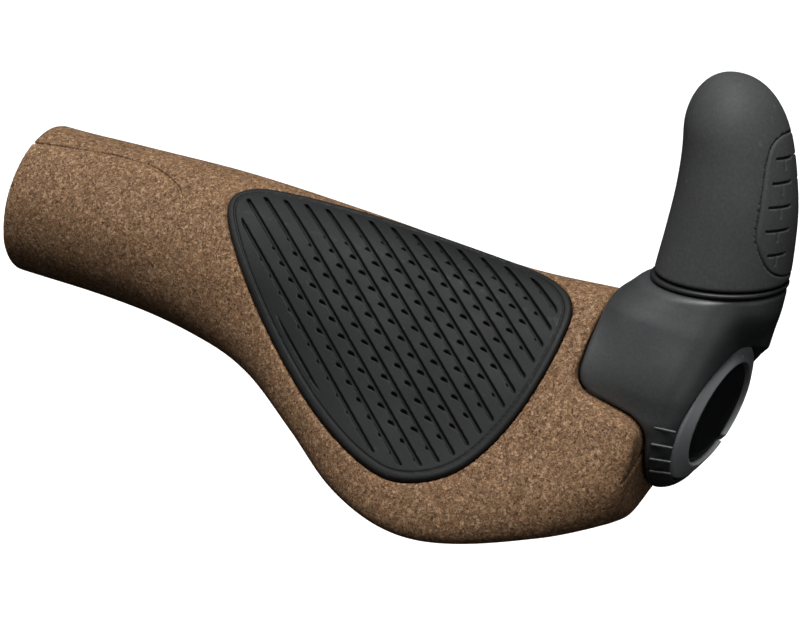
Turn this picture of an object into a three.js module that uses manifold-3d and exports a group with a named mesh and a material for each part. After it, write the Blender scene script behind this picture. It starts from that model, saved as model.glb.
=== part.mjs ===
// A right-hand ergonomic handlebar grip with a bar end: a cork grip with a palm wing and a rubber pad,
// on a nylon core, and a short horn that swivels on the core and is locked by a split clamp ring.
// Millimetres. X runs along the handlebar, outboard positive, Y forward, Z up.
// The origin is on the handlebar's axis, at the grip's inboard end.
import * as THREE from "three";
import { mergeVertices } from "three/addons/utils/BufferGeometryUtils.js";
import Module from "manifold-3d";

const wasm = await Module();
wasm.setup();

// Driving dimensions.
const BAR_RADIUS = 11.1; // a standard 22.2 mm handlebar
const BAR_CLEARANCE = 0.05;
const GAP = 0.35; // between pieces that touch
const GRIP_LENGTH = 147.5;
const GRIP_EDGE = 0.5; // rounding of the grip's two end edges
const WING_TILT = 20; // degrees that the palm wing slopes down behind the bar
const OFFSET_TOWARDS = 47; // degrees round the bar that the round part's centre moves towards
const CORE_WALL = 1.75;
const CORE_START = 0.6;
const CORE_END = 147;
const CORE_SLOT = { count: 4, width: 2, length: 17 };
const PAD = { depth: 1.8, proud: 0.5 };
const PAD_PLAN_HEIGHT = 40;

const COLLAR_START = 129.2; // where the bar end's flap meets the cork
const FLAP_FROM = -18; // degrees round the bar, from forward towards up, where the flap's front edge is
const FLAP_BACK = { height: 1.2, drop: 1.5, turn: 0.6, inCorner: 2.5, outCorner: 3.5 };
const SWIVEL = 15; // degrees that the bar end can be turned forward from rest
const HORN_LEAN = 64; // degrees of the horn above straight forward
// The clamp ring's outboard face and the front of the housing's end are slanted planes: the x where
// each crosses the bar's axis, the degrees between its normal and the bar, and the degrees round the
// bar that it looks towards.
const FACE = { x: 154.5, slant: 10.9, towards: 211 };
const FRONT_END = { x: 159.8, slant: 26.5, towards: -50 };
const FACE_BEVEL = 1.45; // how far the ring's face falls from its hole out to its rim
// Round the ring behind the bar the housing is cut back below two lines. Each row is where a line
// crosses side -1, as a height up the horn, and its climb in degrees towards the horn's rear side.
const SHOULDER = [[15.2, 24], [13.2, 40]];
const SHOULDER_SIDE = -1;

const CLAMP = {
  start: 131, outer: 14.5, recess: 11.1, recessDepth: 12,
  step: 147.3, shelf: 13.9, shelfInner: 9,
};
const SPLIT_AT = 294; // degrees round the bar of the clamp ring's slit
const SPLIT_WIDTH = 2.2;
const EAR = { from: 134, to: 146, foot: 13.6, top: 22.4, thick: 6 };
const EAR_ROOM = 2; // degrees round the bar that the cork is cut away behind the ears
const BOLT = {
  x: 140, out: 18.3, radius: 2.5, hole: 2.8, short: 0.5,
  head: 4.25, headHeight: 5, socket: 2.3, socketFloor: 2,
};
const WASHER = { radius: 4.6, thick: 1 };
const NUT = { radius: 4.6, thick: 3.4 };
const PLUG = { radius: 10.75, thick: 1.8, sunk: 1.15, edge: 0.3 };
const FACE_LIP = 0.3; // how far the housing's end lies behind the rim of the clamp ring's face
const FAR = 200; // past every piece

const SEAT = { x: 147.9, height: 25.4, thick: 0.9, radius: 13.2, tiltInboard: 8, tiltBack: 5, reach: 8 };
const HORN_TIP = { x: 144.1, height: 55.6, radius: 10.3 };
const POST = { x: 148.6, foot: 18, top: 55, radius: 7, lean: -5.2 };
const DOME = { rings: 5, turn: 84 }; // the tip's dome: rings, and the degrees they run up to
const TREAD_DEPTH = 1.7;
const TREAD_START = 150; // the tread lies outboard of this x

const AROUND = 5; // sides of a section between two control points
const GRIP_SPANS = 26; // spans along the grip between its end edges
const SEAM = 1; // degrees that two joined wedges overlap

// Half of the tread's outline seen from outboard: height up the horn, and half width there.
const TREAD_OUTLINE = [
  [30.7, 0.01], [30.9, 4], [32.3, 7.2], [36.5, 9.2], [41, 9.2],
  [49.9, 7.8], [54.5, 6.2], [56.5, 3.6], [57, 0.01],
];

// The collar's skin: rows are [x, radius, offset of its centre from the bar's axis].
const COLLAR = [
  [COLLAR_START, 16.7, 0.9],
  [COLLAR_START + 0.6, 16.95, 0.9],
  [138, 17.2, 1.1],
  [146, 17.6, 1.1],
  [149, 17.3, 0.6],
  [152, 16.8, 0.2],
  [155, 16.1, 0],
  [170, 15.8, 0],
];

// The bar end's neck from the bar up to the horn's seat: rows are [height, middle x, half x, half side,
// and the power of its section's outline, 2 for an ellipse and more for a squarer one].
const NECK = [
  [0, 144.6, 14, 16.2, 2.6],
  [5, 144.7, 15, 17.7, 2.6],
  [10, 144.8, 15.4, 17.6, 2.6],
  [17, 144.6, 15.8, 15.9, 2.6],
  [20, 145.6, 15, 14.9, 2.4],
  [22.5, 146.7, 14.2, 14.1, 2.15],
  [25, 147.6, 13.4, 13.4, 2],
  [32, 147.9, 13, 13, 2],
];

// The horn's sleeve: rows are [height, middle x, radius], and its tip is a dome.
const SLEEVE = [
  [20, 148.2, 13.1],
  [27, 148.2, 12.9],
  [34, 148.1, 12.5],
  [42, 147.6, 11.9],
  [49, 146.4, 11.2],
  [HORN_TIP.height, 144.5, 10.4],
];

const FORWARD = new THREE.Vector3(0, 1, 0);
const OUTBOARD = new THREE.Vector3(1, 0, 0);

// The grip's section at the widest part of the wing. Each row is an angle round the bar from the
// wing's direction, and how far the wing moves that point of a round section: along the wing and off it.
const WING_SECTION = [
  [0, 30.7, 1.6],
  [22, 27, 1.3],
  [48, 16.9, -1.1],
  [72, 8.2, -0.9],
  [98, 0, 0],
  [128, 0, 0],
  [158, 0, 0],
  [188, 0, 0],
  [220, 0, 0],
  [252, 0, 0],
  [284, 3, 1],
  [312, 9, 3.5],
  [338, 22.5, 0.3],
];
// Along the grip: the share of the full wing, the round part's radius, and how far its centre is off
// the bar's axis, up and forward.
const WING_SHARE = [
  [0, 0], [30, 0.02], [50, 0.13], [62, 0.275], [76, 0.56], [90, 0.85],
  [104, 0.98], [118, 0.92], [132, 0.71], [142, 0.43], [GRIP_LENGTH, 0.19],
];
const ROUND_RADIUS = [
  [0, 16], [20, 16.3], [45, 16.8], [75, 16.6], [110, 16.5], [130, 16.9], [GRIP_LENGTH, 17.6],
];
const ROUND_OFFSET = [
  [0, 0], [20, 0.6], [45, 1.2], [75, 0.9], [108, -0.2], [130, 1], [GRIP_LENGTH, 1.2],
];

// The pad's outline seen square to the wing: along the bar, and back from it along the wing.
const PAD_OUTLINE = [
  [48, -2.5], [50.5, -8.4], [60, -11.2], [78, -13], [98, -13.3], [113, -11.2], [122.3, -5],
  [124, 4.3], [121.6, 19.5], [114.8, 33], [105, 38.8], [95, 37.6], [81.5, 30.5], [66.6, 19],
  [54.5, 7.2],
];

const degrees = THREE.MathUtils.degToRad;

// A smooth curve through rows of [place, value], flat at its start.
function along(rows, x) {
  let i = 0;
  while (i < rows.length - 2 && rows[i + 1][0] < x) i += 1;
  const slope = (k) => {
    if (k === 0) return 0;
    const next = Math.min(k + 1, rows.length - 1);
    return (rows[next][1] - rows[k - 1][1]) / (rows[next][0] - rows[k - 1][0]);
  };
  const span = rows[i + 1][0] - rows[i][0];
  const t = THREE.MathUtils.clamp((x - rows[i][0]) / span, 0, 1);
  const lastSlope = (rows.at(-1)[1] - rows.at(-2)[1]) / (rows.at(-1)[0] - rows.at(-2)[0]);
  const endSlope = i + 1 === rows.length - 1 ? lastSlope : slope(i + 1);
  return (
    (2 * t ** 3 - 3 * t ** 2 + 1) * rows[i][1] +
    (t ** 3 - 2 * t ** 2 + t) * span * slope(i) +
    (3 * t ** 2 - 2 * t ** 3) * rows[i + 1][1] +
    (t ** 3 - t ** 2) * span * endSlope
  );
}

// A point on the bar's axis.
const atX = (x) => new THREE.Vector3(x, 0, 0);

// Directions round the bar and round the wing, as unit vectors square to X.
const round = (angle) =>
  new THREE.Vector3(0, Math.cos(degrees(angle)), Math.sin(degrees(angle)));
const wingWay = round(180 + WING_TILT);
const wingUp = round(90 + WING_TILT);
const offsetWay = round(OFFSET_TOWARDS);
const hornWay = round(HORN_LEAN);
const hornSide = round(HORN_LEAN + 90);
const slantedWay = ({ slant, towards }) =>
  OUTBOARD.clone()
    .multiplyScalar(Math.cos(degrees(slant)))
    .addScaledVector(round(towards), Math.sin(degrees(slant)));
const faceWay = slantedWay(FACE);

// The grip's section curve at x.
function sectionCurve(x) {
  const share = along(WING_SHARE, x);
  const radius = along(ROUND_RADIUS, x);
  const offset = along(ROUND_OFFSET, x);
  const points = WING_SECTION.map(([angle, back, up]) =>
    atX(x)
      .addScaledVector(offsetWay, offset)
      .addScaledVector(wingWay, radius * Math.cos(degrees(angle)) + share * back)
      .addScaledVector(wingUp, radius * Math.sin(degrees(angle)) + share * up),
  );
  return new THREE.CatmullRomCurve3(points, true, "catmullrom", 0.5);
}

// A point of the grip's surface: t runs once round the section, and outset moves it off the surface.
function gripPoint(curve, t, outset) {
  const point = curve.getPoint(t);
  const outward = curve.getTangent(t).cross(OUTBOARD).negate();
  return point.addScaledVector(outward, outset);
}

// Solids.
function solidOf(geometry) {
  const bare = geometry.index ? geometry.toNonIndexed() : geometry.clone();
  for (const name of Object.keys(bare.attributes)) {
    if (name !== "position") bare.deleteAttribute(name);
  }
  const merged = mergeVertices(bare, 1e-4);
  return new wasm.Manifold(
    new wasm.Mesh({
      numProp: 3,
      vertProperties: merged.attributes.position.array,
      triVerts: new Uint32Array(merged.index.array),
    }),
  );
}

function geometryOf(solid) {
  const mesh = solid.getMesh();
  const geometry = new THREE.BufferGeometry();
  geometry.setAttribute("position", new THREE.BufferAttribute(mesh.vertProperties, 3));
  geometry.setIndex(new THREE.BufferAttribute(mesh.triVerts, 1));
  geometry.computeVertexNormals();
  return geometry;
}

// A solid of revolution: rows are [place along the axis, radius], and the axis leaves `from` along `way`.
function turned(rows, from, way, segments = 48) {
  const profile = [...rows, rows[0]].map(([place, radius]) => new THREE.Vector2(radius, place));
  const geometry = new THREE.LatheGeometry(profile, segments);
  const turn = new THREE.Quaternion().setFromUnitVectors(FORWARD, way);
  geometry.applyQuaternion(turn).translate(from.x, from.y, from.z);
  const solid = solidOf(geometry);
  return solid.volume() > 0 ? solid : solidOf(flipped(geometry));
}

// The same shape with its faces turned round.
function flipped(geometry) {
  const copy = geometry.index ? geometry.toNonIndexed() : geometry.clone();
  const position = copy.attributes.position;
  for (let i = 0; i < position.count; i += 3) {
    const a = new THREE.Vector3().fromBufferAttribute(position, i);
    const b = new THREE.Vector3().fromBufferAttribute(position, i + 1);
    position.setXYZ(i, b.x, b.y, b.z);
    position.setXYZ(i + 1, a.x, a.y, a.z);
  }
  return copy;
}

function rod(from, way, length, radius, segments = 48) {
  const geometry = new THREE.CylinderGeometry(radius, radius, length, segments);
  const turn = new THREE.Quaternion().setFromUnitVectors(FORWARD, way);
  const middle = from.clone().addScaledVector(way, length / 2);
  geometry.applyQuaternion(turn).translate(middle.x, middle.y, middle.z);
  return solidOf(geometry);
}

// A box between two corners given along the bar, across, and out from the bar's axis.
function boxAlong(out, low, high) {
  const size = high.map((value, i) => value - low[i]);
  const geometry = new THREE.BoxGeometry(...size);
  geometry.translate(...high.map((value, i) => (value + low[i]) / 2));
  const across = out.clone().cross(OUTBOARD);
  geometry.applyMatrix4(new THREE.Matrix4().makeBasis(OUTBOARD, across, out));
  return solidOf(geometry);
}

// A closed solid swept over rings: place(ring, turn) gives the surface, and centre(ring) the middles
// of its end caps.
function lofted(rings, sides, place, centre) {
  const geometry = new THREE.CylinderGeometry(1, 1, 1, sides, rings);
  const position = geometry.attributes.position;
  for (let i = 0; i < position.count; i += 1) {
    const ring = Math.round((0.5 - position.getY(i)) * rings);
    const reach = Math.hypot(position.getX(i), position.getZ(i));
    const turn = Math.atan2(position.getZ(i), position.getX(i)) / (2 * Math.PI);
    const side = Math.round(((turn + 1) % 1) * sides) % sides;
    const point = reach < 0.5 ? centre(ring) : place(ring, side / sides);
    position.setXYZ(i, point.x, point.y, point.z);
  }
  const solid = solidOf(geometry);
  return solid.volume() > 0 ? solid : solidOf(flipped(geometry));
}

// A wedge round the bar between two angles, outboard of fromX.
function wedge(fromAngle, toAngle, fromX) {
  const shape = new THREE.Shape();
  shape.moveTo(0, 0);
  shape.lineTo(FAR * Math.cos(degrees(fromAngle)), FAR * Math.sin(degrees(fromAngle)));
  shape.absarc(0, 0, FAR, degrees(fromAngle), degrees(toAngle), false);
  const geometry = new THREE.ExtrudeGeometry(shape, {
    depth: FAR,
    bevelEnabled: false,
    curveSegments: 24,
  });
  geometry.applyMatrix4(new THREE.Matrix4().makeBasis(round(0), round(90), OUTBOARD));
  geometry.translate(fromX, 0, 0);
  return solidOf(geometry);
}

// The grip's outer shape, grown by outset. The end edges are rounded off.
function gripSolid(outset) {
  const places = [0, GRIP_EDGE * 0.3, GRIP_EDGE];
  for (let i = 1; i < GRIP_SPANS; i += 1) {
    places.push(GRIP_EDGE + ((GRIP_LENGTH - 2 * GRIP_EDGE) * i) / GRIP_SPANS);
  }
  places.push(GRIP_LENGTH - GRIP_EDGE, GRIP_LENGTH - GRIP_EDGE * 0.3, GRIP_LENGTH);
  const curves = places.map(sectionCurve);
  const roundOff = (x) => {
    const near = Math.min(x, GRIP_LENGTH - x, GRIP_EDGE);
    return GRIP_EDGE - Math.sqrt(GRIP_EDGE ** 2 - (GRIP_EDGE - near) ** 2);
  };
  return lofted(
    places.length - 1,
    WING_SECTION.length * AROUND,
    (ring, t) => gripPoint(curves[ring], t, outset - roundOff(places[ring])),
    (ring) => new THREE.Vector3(places[ring], 0, 0),
  );
}

// A prism over a smooth closed outline grown sideways, from `start` to `start + length` along `way`.
function prism(outline, count, grow, acrossWay, upWay, way, start, length) {
  const curve = new THREE.CatmullRomCurve3(outline, true);
  const points = Array.from({ length: count }, (_, i) => {
    const tangent = curve.getTangent(i / count);
    const sideways = new THREE.Vector3(tangent.y, -tangent.x, 0);
    return curve.getPoint(i / count).addScaledVector(sideways, grow);
  });
  if (THREE.ShapeUtils.area(points) < 0) throw new Error("an outline runs clockwise");
  const geometry = new THREE.ExtrudeGeometry(
    new THREE.Shape(points.map((point) => new THREE.Vector2(point.x, point.y))),
    { depth: length, bevelEnabled: false },
  );
  geometry.translate(0, 0, start);
  geometry.applyMatrix4(new THREE.Matrix4().makeBasis(acrossWay, upWay, way));
  const solid = solidOf(geometry);
  return solid.volume() > 0 ? solid : solidOf(flipped(geometry));
}

// A prism over the pad's outline, grown sideways, square to the wing.
function padPrism(grow) {
  const outline = PAD_OUTLINE.map(([x, back]) => new THREE.Vector3(x, back, 0));
  return prism(outline, 72, grow, OUTBOARD, wingWay, wingUp, 0, PAD_PLAN_HEIGHT);
}

// The space of the bar end's flap and collar, grown by grow. Behind the bar its lower edge runs nearly
// level and turns down round the cork's corner. In front it ends at an angle round the bar.
function collarSpace(grow, frontAngle) {
  const left = COLLAR_START - grow;
  const right = GRIP_LENGTH + GAP - grow;
  const low = FLAP_BACK.height - grow;
  const end = low - FLAP_BACK.drop;
  const shape = new THREE.Shape();
  shape.moveTo(left, FAR);
  shape.lineTo(left, low + FLAP_BACK.inCorner);
  shape.quadraticCurveTo(left, low, left + FLAP_BACK.inCorner, low);
  shape.lineTo(right - FLAP_BACK.outCorner, end);
  shape.quadraticCurveTo(right, end - FLAP_BACK.turn, right, end - FLAP_BACK.outCorner);
  shape.lineTo(right, -FAR);
  shape.lineTo(FAR, -FAR);
  shape.lineTo(FAR, FAR);
  shape.closePath();
  const geometry = new THREE.ExtrudeGeometry(shape, {
    depth: FAR,
    bevelEnabled: false,
    curveSegments: 8,
  });
  geometry.applyMatrix4(new THREE.Matrix4().makeBasis(OUTBOARD, hornWay, hornSide));
  const front = wedge(frontAngle, HORN_LEAN + SEAM, left);
  const outboard = wedge(HORN_LEAN - 180 - SEAM, HORN_LEAN + SEAM, right);
  return solidOf(geometry).add(front).add(outboard);
}

const material = (color, roughness, metalness = 0) =>
  new THREE.MeshStandardMaterial({ color, roughness, metalness });
const CORK = material(0x967a5a, 0.85);
const RUBBER = material(0x343636, 0.6);
const SOFT_RUBBER = material(0x3a3b3b, 0.65);
const COMPOSITE = material(0x3d3f40, 0.5);
const NYLON = material(0x1e1f20, 0.55);
const ALUMINIUM = material(0x55585a, 0.45, 0.6);
const STEEL = material(0x3a3c3e, 0.35, 0.9);

const grip = new THREE.Group();
function add(name, solid, look) {
  const mesh = new THREE.Mesh(geometryOf(solid), look);
  mesh.name = name;
  grip.add(mesh);
}

const bore = BAR_RADIUS + BAR_CLEARANCE;
const coreOuter = bore + CORE_WALL;

// The clamp's fastener: its axis runs square to the slit, through both ears.
const boltWay = round(SPLIT_AT + 90);
const earFace = SPLIT_WIDTH / 2 + EAR.thick;
const washerFace = earFace + GAP;
const headFace = washerFace + WASHER.thick + GAP;
const earBack = SPLIT_AT - THREE.MathUtils.radToDeg(Math.atan2(earFace, EAR.foot));

// A point on the clamp bolt's axis, its place measured from the slit's middle plane.
function boltPoint(place) {
  return atX(BOLT.x)
    .addScaledVector(round(SPLIT_AT), BOLT.out)
    .addScaledVector(boltWay, place);
}

// A rod along the bolt's axis, between two places on it.
function boltRod(from, to, radius, segments) {
  return rod(boltPoint(from), boltWay, to - from, radius, segments);
}

function gripCore() {
  let core = turned(
    [[0, bore], [0, coreOuter], [CORE_END - CORE_START, coreOuter], [CORE_END - CORE_START, bore]],
    atX(CORE_START),
    OUTBOARD,
  );
  for (let i = 0; i < CORE_SLOT.count; i += 1) {
    const angle = SPLIT_AT + (360 / CORE_SLOT.count) * i;
    core = core.subtract(
      boxAlong(
        round(angle),
        [CORE_END - CORE_SLOT.length, -CORE_SLOT.width / 2, bore / 2],
        [FAR, CORE_SLOT.width / 2, 2 * bore],
      ),
    );
  }
  return core;
}

function corkBody() {
  const coreRoom = rod(atX(-FAR), OUTBOARD, 2 * FAR, coreOuter + GAP);
  const flapRoom = collarSpace(GAP, earBack - EAR_ROOM - SWIVEL - 360);
  const clampRoom = rod(atX(COLLAR_START - GAP), OUTBOARD, FAR, CLAMP.outer + GAP);
  const pocket = padPrism(GAP).subtract(gripSolid(-PAD.depth - GAP));
  return gripSolid(0).subtract(coreRoom).subtract(clampRoom).subtract(flapRoom).subtract(pocket);
}

function palmPad() {
  return padPrism(0).intersect(gripSolid(PAD.proud)).subtract(gripSolid(-PAD.depth));
}

// A point on the clamp ring's own axis, ahead of the middle of its face.
const facePoint = (ahead) => atX(FACE.x).addScaledVector(faceWay, ahead);

// Everything outboard of the slanted plane that lies ahead of the clamp ring's face.
function beyondFace(ahead) {
  return rod(facePoint(ahead), faceWay, FAR, FAR, 24);
}

function clampRing() {
  const tube = turned(
    [
      [CLAMP.start, coreOuter + GAP],
      [CLAMP.start, CLAMP.outer],
      [FAR, CLAMP.outer],
      [FAR, coreOuter + GAP],
    ],
    atX(0),
    OUTBOARD,
  );
  const shelf = turned(
    [
      [CLAMP.step, CLAMP.shelfInner],
      [CLAMP.step, CLAMP.shelf],
      [FAR, CLAMP.shelf],
      [FAR, CLAMP.shelfInner],
    ],
    atX(0),
    OUTBOARD,
  );
  const recess = rod(facePoint(-CLAMP.recessDepth), faceWay, FAR, CLAMP.recess);
  const perMillimetre = (CLAMP.outer - CLAMP.recess) / FACE_BEVEL;
  const bevelled = turned(
    [
      [0, 0],
      [0, CLAMP.recess],
      [-FACE.x, CLAMP.recess + FACE.x * perMillimetre],
      [-FACE.x, 0],
    ],
    facePoint(0),
    faceWay,
  );
  const out = round(SPLIT_AT);
  const ears = boxAlong(out, [EAR.from, -earFace, EAR.foot], [EAR.to, earFace, EAR.top]);
  const slit = boxAlong(out, [0, -SPLIT_WIDTH / 2, CLAMP.shelfInner / 2], [FAR, SPLIT_WIDTH / 2, FAR]);
  return tube
    .add(shelf)
    .subtract(recess)
    .intersect(bevelled)
    .add(ears)
    .subtract(slit)
    .subtract(boltRod(-FAR, FAR, BOLT.hole, 24))
    .subtract(boltRod(-FAR, -earFace + NUT.thick + GAP, NUT.radius + GAP, 6));
}

function clampBolt() {
  const top = headFace + BOLT.headHeight;
  return boltRod(-earFace + BOLT.short, headFace + BOLT.socketFloor, BOLT.radius, 24)
    .add(boltRod(headFace, top, BOLT.head, 32))
    .subtract(boltRod(headFace + BOLT.socketFloor, FAR, BOLT.socket, 6));
}

function clampWasher() {
  return boltRod(washerFace, washerFace + WASHER.thick, WASHER.radius, 32).subtract(
    boltRod(-FAR, FAR, BOLT.hole, 24),
  );
}

function clampNut() {
  return boltRod(-earFace, -earFace + NUT.thick, NUT.radius, 6).subtract(
    boltRod(-FAR, FAR, BOLT.hole, 24),
  );
}

function endPlug() {
  return turned(
    [
      [0, 0],
      [0, PLUG.radius],
      [PLUG.thick - PLUG.edge, PLUG.radius],
      [PLUG.thick, PLUG.radius - PLUG.edge],
      [PLUG.thick, 0],
    ],
    facePoint(-PLUG.sunk - PLUG.thick),
    faceWay,
  );
}

// A point at a height up the horn, x along the bar and side across.
function hornPoint(x, height, side) {
  return atX(x).addScaledVector(hornWay, height).addScaledVector(hornSide, side);
}

// Everything above the horn's tilted seat plane, `above` it.
function aboveSeat(above) {
  const way = hornWay
    .clone()
    .addScaledVector(OUTBOARD, -Math.tan(degrees(SEAT.tiltInboard)))
    .addScaledVector(hornSide, Math.tan(degrees(SEAT.tiltBack)))
    .normalize();
  const middle = hornPoint(SEAT.x, SEAT.height, 0).addScaledVector(way, above);
  return rod(middle, way, FAR, FAR, 24);
}

function neck() {
  return lofted(
    NECK.length - 1,
    48,
    (ring, t) => {
      const [height, x, halfX, halfSide, power] = NECK[ring];
      const bent = (value) => Math.sign(value) * Math.abs(value) ** (2 / power);
      const along = halfX * bent(Math.cos(2 * Math.PI * t));
      return hornPoint(x + along, height, halfSide * bent(Math.sin(2 * Math.PI * t)));
    },
    (ring) => hornPoint(NECK[ring][1], NECK[ring][0], 0),
  ).subtract(aboveSeat(0));
}

function post(radius, top) {
  const way = hornWay
    .clone()
    .multiplyScalar(Math.cos(degrees(POST.lean)))
    .addScaledVector(OUTBOARD, Math.sin(degrees(POST.lean)));
  return rod(hornPoint(POST.x, POST.foot, 0), way, top - POST.foot, radius, 32);
}

// Everything below a line that crosses SHOULDER_SIDE at a height up the horn and climbs to the rear.
function belowLine([height, climb]) {
  const down = hornSide
    .clone()
    .multiplyScalar(Math.sin(degrees(climb)))
    .addScaledVector(hornWay, -Math.cos(degrees(climb)));
  return rod(hornPoint(FACE.x, height, SHOULDER_SIDE), down, FAR, FAR, 24);
}

function barEndHousing() {
  const room = CLAMP.outer + GAP;
  const skin = lofted(
    COLLAR.length - 1,
    72,
    (ring, t) => {
      const [x, radius, offset] = COLLAR[ring];
      return round(360 * t).multiplyScalar(radius).addScaledVector(offsetWay, offset).setX(x);
    },
    (ring) => atX(COLLAR[ring][0]),
  );
  const shoulder = SHOULDER.map(belowLine).reduce(
    (space, below) => space.intersect(below),
    beyondFace(-FACE_BEVEL - FACE_LIP),
  );
  return skin
    .add(neck())
    .subtract(shoulder)
    .subtract(rod(atX(FRONT_END.x), slantedWay(FRONT_END), FAR, FAR, 24))
    .intersect(collarSpace(0, FLAP_FROM))
    .add(post(POST.radius, POST.top))
    .subtract(rod(atX(0), OUTBOARD, FAR, room))
    .subtract(rod(facePoint(-FACE_LIP), faceWay, FAR, room + FACE_LIP));
}

function seatRing() {
  return rod(hornPoint(SEAT.x, SEAT.height - SEAT.reach, 0), hornWay, 2 * SEAT.reach, SEAT.radius)
    .subtract(aboveSeat(GAP + SEAT.thick))
    .intersect(aboveSeat(GAP))
    .subtract(post(POST.radius + GAP, FAR));
}

function sleeveSolid(outset) {
  const rows = [...SLEEVE];
  for (let i = 1; i <= DOME.rings; i += 1) {
    const angle = degrees((DOME.turn * i) / DOME.rings);
    rows.push([
      HORN_TIP.height + HORN_TIP.radius * Math.sin(angle),
      HORN_TIP.x,
      HORN_TIP.radius * Math.cos(angle),
    ]);
  }
  return lofted(
    rows.length - 1,
    40,
    (ring, t) => {
      const [height, x, radius] = rows[ring];
      const angle = 2 * Math.PI * t;
      const reach = radius + outset;
      return hornPoint(x + reach * Math.cos(angle), height, reach * Math.sin(angle));
    },
    (ring) => hornPoint(rows[ring][1], rows[ring][0], 0),
  );
}

// A prism over the tread's outline, running outboard.
function treadPrism(grow) {
  const half = TREAD_OUTLINE.map(([height, side]) => new THREE.Vector3(side, height, 0));
  const mirrored = half
    .slice(1, -1)
    .reverse()
    .map((point) => new THREE.Vector3(-point.x, point.y, 0));
  return prism([...half, ...mirrored], 48, grow, hornSide, hornWay, OUTBOARD, TREAD_START, FAR);
}

function hornSleeve() {
  const floor = aboveSeat(2 * GAP + SEAT.thick);
  const pocket = treadPrism(GAP).subtract(sleeveSolid(-TREAD_DEPTH - GAP));
  return sleeveSolid(0)
    .intersect(floor)
    .subtract(post(POST.radius + GAP, POST.top + 1))
    .subtract(pocket);
}

function hornTread() {
  return treadPrism(0).intersect(sleeveSolid(0)).subtract(sleeveSolid(-TREAD_DEPTH));
}

add("grip_core", gripCore(), NYLON);
add("cork_body", corkBody(), CORK);
add("palm_pad", palmPad(), RUBBER);
add("bar_end_housing", barEndHousing(), COMPOSITE);
add("clamp_ring", clampRing(), ALUMINIUM);
add("clamp_bolt", clampBolt(), STEEL);
add("clamp_washer", clampWasher(), STEEL);
add("clamp_nut", clampNut(), STEEL);
add("end_plug", endPlug(), NYLON);
add("seat_ring", seatRing(), NYLON);
add("horn_sleeve", hornSleeve(), SOFT_RUBBER);
add("horn_tread", hornTread(), RUBBER);

export default grip;
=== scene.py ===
"""The looks of an ergonomic handlebar grip with a bar end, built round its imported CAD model.

Each visible piece is a signed distance field in millimetres, meshed on a grid whose cells suit its
finest detail. X runs along the handlebar, outboard positive, Y forward, Z up, as in the CAD model.
"""

import math

import bmesh
import bpy
import numpy as np
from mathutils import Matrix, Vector

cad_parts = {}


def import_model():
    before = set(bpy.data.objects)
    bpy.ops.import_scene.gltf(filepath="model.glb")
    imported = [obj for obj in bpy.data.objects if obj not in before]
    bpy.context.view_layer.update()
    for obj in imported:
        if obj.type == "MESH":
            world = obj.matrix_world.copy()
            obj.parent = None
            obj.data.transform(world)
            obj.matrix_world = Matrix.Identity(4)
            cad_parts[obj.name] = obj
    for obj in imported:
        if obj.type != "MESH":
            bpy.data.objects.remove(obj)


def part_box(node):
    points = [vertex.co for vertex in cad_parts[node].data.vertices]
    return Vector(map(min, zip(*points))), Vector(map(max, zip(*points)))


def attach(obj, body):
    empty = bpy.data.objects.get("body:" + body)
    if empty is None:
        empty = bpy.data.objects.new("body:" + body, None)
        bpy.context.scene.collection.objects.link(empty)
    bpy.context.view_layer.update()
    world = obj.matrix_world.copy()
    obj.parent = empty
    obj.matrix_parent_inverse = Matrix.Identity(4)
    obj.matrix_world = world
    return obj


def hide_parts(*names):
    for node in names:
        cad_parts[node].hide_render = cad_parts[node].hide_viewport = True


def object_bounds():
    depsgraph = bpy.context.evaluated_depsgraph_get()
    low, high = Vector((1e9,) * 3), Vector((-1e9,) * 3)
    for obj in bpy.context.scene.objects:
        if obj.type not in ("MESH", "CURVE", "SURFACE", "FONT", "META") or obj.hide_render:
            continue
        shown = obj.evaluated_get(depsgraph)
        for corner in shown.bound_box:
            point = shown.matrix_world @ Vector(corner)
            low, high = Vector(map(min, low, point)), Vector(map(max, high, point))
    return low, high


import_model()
cad_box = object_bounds()

MM = 0.001
COARSE = 1.0

# The CAD model's driving dimensions.
GAP = 0.35
GRIP_LENGTH = 147.5
CORK_END = 145.2  # where the cork gives way to the collar
GRIP_EDGE = 0.5
WING_TILT = 20
OFFSET_TOWARDS = 47
BORE_RADIUS = 11.15
CORE = {"outer": 12.9, "start": 0.6, "end": 144.9, "slots": 4, "slot_width": 2, "slot_length": 17}
PAD = {"depth": 1.8, "proud": 0.5}
COLLAR_START = 129.2
FLAP_FROM = -18
FLAP_BACK = {"height": 1.2, "drop": 1.5, "in_corner": 2.5, "out_corner": 3.5}
CUT_FRONT = -111.6  # degrees round the bar where the cork's cut-out ends, below the clamp's ears
HORN_LEAN = 64
FACE = {"x": 154.5, "slant": 10.9, "towards": 211, "bevel": 1.45}
END = {"x": 154.6, "slant": 10.9, "towards": 211}  # the housing's end behind the bar
FRONT_END = {"x": 160.6, "slant": 26.5, "towards": -50}  # and in front of it
SHOULDER = {"height": 15.2, "side": -1, "slope": 24, "drop": 2, "steep": 40, "edge": 8, "fillet": 4}
CLAMP = {"start": 131, "outer": 14.5, "recess": 11.1, "step": 147.3}
SPLIT = {"at": 294, "width": 2.2, "slit": 1.2}
EAR = {"from": 134, "to": 146, "top": 22.4, "thick": 6}
BOLT = {"x": 140, "out": 18.3, "radius": 2.5, "head": 4.25, "height": 5, "socket": 2.3, "hole": 2.8}
WASHER = {"radius": 4.6, "thick": 1}
NUT = {"radius": 4.6, "thick": 3.4}
PLUG = {"radius": 10.75, "thick": 1.8, "sunk": 1.15}
SEAT = {"x": 147.9, "height": 25.4, "thick": 0.9, "radius": 13.2, "inboard": 8, "back": 5}
DOME = {"from": 52.6, "rise": 12.9, "square": 2.25}  # the tip rounds over above this height
POST = {"foot": 18, "x": 148.6, "top": 55, "radius": 7, "lean": -5.2}
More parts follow.
